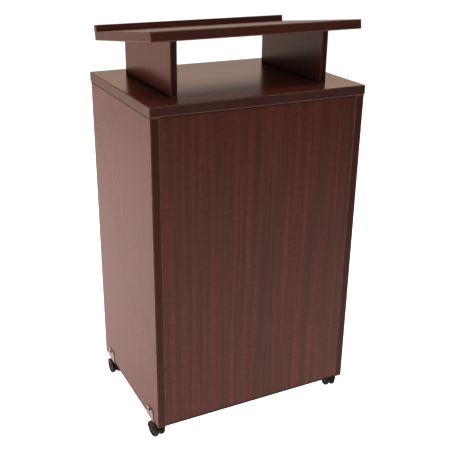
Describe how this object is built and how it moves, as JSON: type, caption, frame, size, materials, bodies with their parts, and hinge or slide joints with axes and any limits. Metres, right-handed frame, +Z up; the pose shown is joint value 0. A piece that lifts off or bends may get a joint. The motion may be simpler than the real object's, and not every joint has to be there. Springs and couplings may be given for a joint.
{
  "type": "lectern podium",
  "caption": "Mobile lectern podium: laminated cabinet open at the back with a shelf, raised sloping reading board with book stop, swivel casters.",
  "frame": {"origin": "on the floor at the centre of the footprint", "axes": "+Z up; -Y towards the audience, +Y towards the presenter; +X to the right as the audience sees it"},
  "size_m": [0.6174, 0.453, 1.1247],
  "materials": {
    "mahogany_laminate": "satin mahogany laminate, straight grain",
    "edge_strip": "satin mahogany edge strip",
    "caster_black": "semi-gloss moulded nylon",
    "wheel_black": "semi-gloss moulded nylon, scuffed tread",
    "bracket_steel": "zinc plated sheet",
    "plain_steel": "bright zinc plated",
    "dark_bolt": "dark oxidised",
    "zinc": "die cast",
    "beech": "plain beech"
  },
  "bodies": {
    "cabinet": {"book_stop": "mahogany_laminate", "book_stop_screws": "plain_steel", "bottom_panel": "mahogany_laminate", "bottom_panel_edge_band": "edge_strip", "bracket_bolts": "dark_bolt", "bracket_nuts": "plain_steel", "cam_bolts": "plain_steel", "cam_housings": "zinc", "caster_stems": "plain_steel", "dowels": "beech", "front_left_bracket": "bracket_steel", "front_panel": "mahogany_laminate", "front_right_bracket": "bracket_steel", "left_side_edge_bands": "edge_strip", "left_side_panel": "mahogany_laminate", "left_upright": "mahogany_laminate", "left_upright_edge_bands": "edge_strip", "reading_board": "mahogany_laminate", "reading_board_edge_band": "edge_strip", "rear_left_bracket": "bracket_steel", "rear_right_bracket": "bracket_steel", "right_side_edge_bands": "edge_strip", "right_side_panel": "mahogany_laminate", "right_upright": "mahogany_laminate", "right_upright_edge_bands": "edge_strip", "shelf": "mahogany_laminate", "shelf_edge_band": "edge_strip", "shelf_pins": "plain_steel", "stem_nuts": "plain_steel", "top_slab": "mahogany_laminate", "top_slab_edge_band": "edge_strip", "upright_screws": "plain_steel"},
    "front_left_caster": {"front_left_caster_body": "caster_black", "front_left_axle": "plain_steel"},
    "front_left_outer_wheel": {"front_left_outer_wheel": "wheel_black"},
    "front_left_inner_wheel": {"front_left_inner_wheel": "wheel_black"},
    "front_right_caster": {"front_right_caster_body": "caster_black", "front_right_axle": "plain_steel"},
    "front_right_outer_wheel": {"front_right_outer_wheel": "wheel_black"},
    "front_right_inner_wheel": {"front_right_inner_wheel": "wheel_black"},
    "rear_left_caster": {"rear_left_caster_body": "caster_black", "rear_left_axle": "plain_steel"},
    "rear_left_outer_wheel": {"rear_left_outer_wheel": "wheel_black"},
    "rear_left_inner_wheel": {"rear_left_inner_wheel": "wheel_black"},
    "rear_right_caster": {"rear_right_caster_body": "caster_black", "rear_right_axle": "plain_steel"},
    "rear_right_outer_wheel": {"rear_right_outer_wheel": "wheel_black"},
    "rear_right_inner_wheel": {"rear_right_inner_wheel": "wheel_black"}
  },
  "joints": [
    {"name": "front_left_swivel", "type": "hinge", "parent": "cabinet", "child": "front_left_caster", "pos_m": [-0.291, -0.1665, 0.04], "axis": [0, 0, 1], "continuous": true},
    {"name": "front_left_outer_wheel_spin", "type": "hinge", "parent": "front_left_caster", "child": "front_left_outer_wheel", "pos_m": [-0.29913, -0.1791, 0.0225], "axis": [0.9848, 0.1736, 0], "continuous": true},
    {"name": "front_left_inner_wheel_spin", "type": "hinge", "parent": "front_left_caster", "child": "front_left_inner_wheel", "pos_m": [-0.27904, -0.17556, 0.0225], "axis": [0.9848, 0.1736, 0], "continuous": true},
    {"name": "front_right_swivel", "type": "hinge", "parent": "cabinet", "child": "front_right_caster", "pos_m": [0.291, -0.1665, 0.04], "axis": [0, 0, 1], "continuous": true},
    {"name": "front_right_outer_wheel_spin", "type": "hinge", "parent": "front_right_caster", "child": "front_right_outer_wheel", "pos_m": [0.29913, -0.1791, 0.0225], "axis": [0.9848, -0.1736, 0], "continuous": true},
    {"name": "front_right_inner_wheel_spin", "type": "hinge", "parent": "front_right_caster", "child": "front_right_inner_wheel", "pos_m": [0.27904, -0.17556, 0.0225], "axis": [0.9848, -0.1736, 0], "continuous": true},
    {"name": "rear_left_swivel", "type": "hinge", "parent": "cabinet", "child": "rear_left_caster", "pos_m": [-0.291, 0.1665, 0.04], "axis": [0, 0, 1], "continuous": true},
    {"name": "rear_left_outer_wheel_spin", "type": "hinge", "parent": "rear_left_caster", "child": "rear_left_outer_wheel", "pos_m": [-0.30158, 0.17714, 0.0225], "axis": [0.9994, 0.0349, 0], "continuous": true},
    {"name": "rear_left_inner_wheel_spin", "type": "hinge", "parent": "rear_left_caster", "child": "rear_left_inner_wheel", "pos_m": [-0.28119, 0.17785, 0.0225], "axis": [0.9994, 0.0349, 0], "continuous": true},
    {"name": "rear_right_swivel", "type": "hinge", "parent": "cabinet", "child": "rear_right_caster", "pos_m": [0.291, 0.1665, 0.04], "axis": [0, 0, 1], "continuous": true},
    {"name": "rear_right_outer_wheel_spin", "type": "hinge", "parent": "rear_right_caster", "child": "rear_right_outer_wheel", "pos_m": [0.30158, 0.17714, 0.0225], "axis": [0.9994, -0.0349, 0], "continuous": true},
    {"name": "rear_right_inner_wheel_spin", "type": "hinge", "parent": "rear_right_caster", "child": "rear_right_inner_wheel", "pos_m": [0.28119, 0.17785, 0.0225], "axis": [0.9994, -0.0349, 0], "continuous": true}
  ]
}
